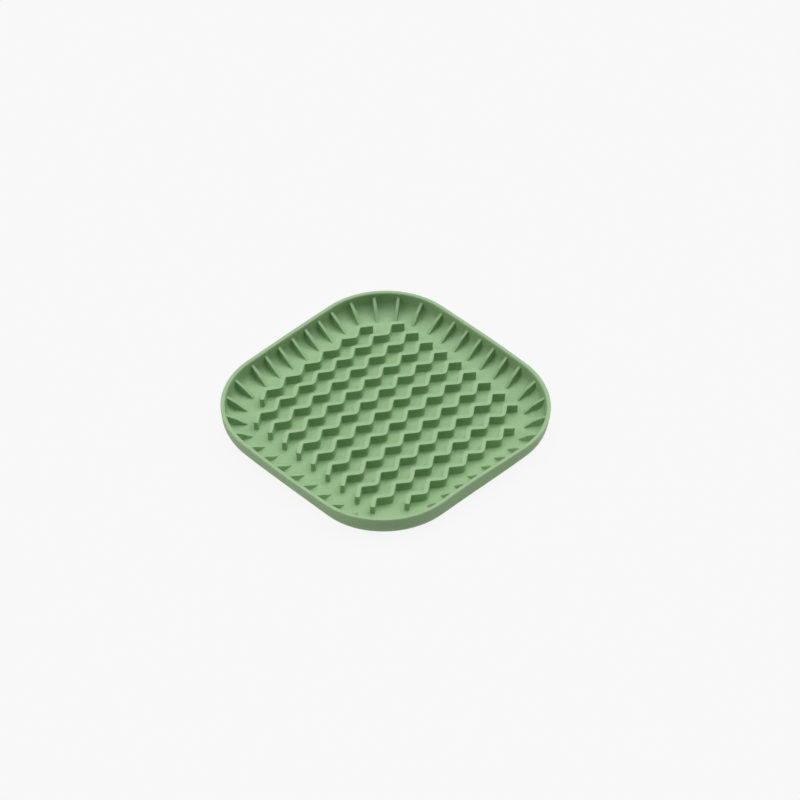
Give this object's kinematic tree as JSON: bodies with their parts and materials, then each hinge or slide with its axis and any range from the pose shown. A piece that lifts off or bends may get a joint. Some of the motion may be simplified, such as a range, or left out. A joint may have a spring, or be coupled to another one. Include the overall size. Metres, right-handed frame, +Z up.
{
  "type": "pet lick bowl",
  "caption": "Shallow square lick bowl with rounded corners, zigzag ridges across its floor and short sloping ribs round its wall, for soft pet food.",
  "frame": {"origin": "middle of the flat underside", "axes": "+Z up, X along the zigzag ridges, +Y towards the first ridge at the back"},
  "size_m": [0.17, 0.17, 0.015],
  "materials": {
    "silicone": "matte moulded silicone"
  },
  "bodies": {
    "root": {"floor_pan": "silicone", "wall_right": "silicone", "wall_back": "silicone", "wall_left": "silicone", "wall_front": "silicone", "wall_corner_back_right": "silicone", "wall_corner_back_left": "silicone", "wall_corner_front_left": "silicone", "wall_corner_front_right": "silicone", "ridge_1": "silicone", "ridge_2": "silicone", "ridge_3": "silicone", "ridge_4": "silicone", "ridge_5": "silicone", "ridge_6": "silicone", "ridge_7": "silicone", "ridge_8": "silicone", "ridge_9": "silicone", "ridge_10": "silicone", "ridge_11": "silicone", "rib_row_right": "silicone", "rib_row_back": "silicone", "rib_row_left": "silicone", "rib_row_front": "silicone", "rib_fan_back_right": "silicone", "rib_fan_back_left": "silicone", "rib_fan_front_left": "silicone", "rib_fan_front_right": "silicone"}
  },
  "joints": []
}
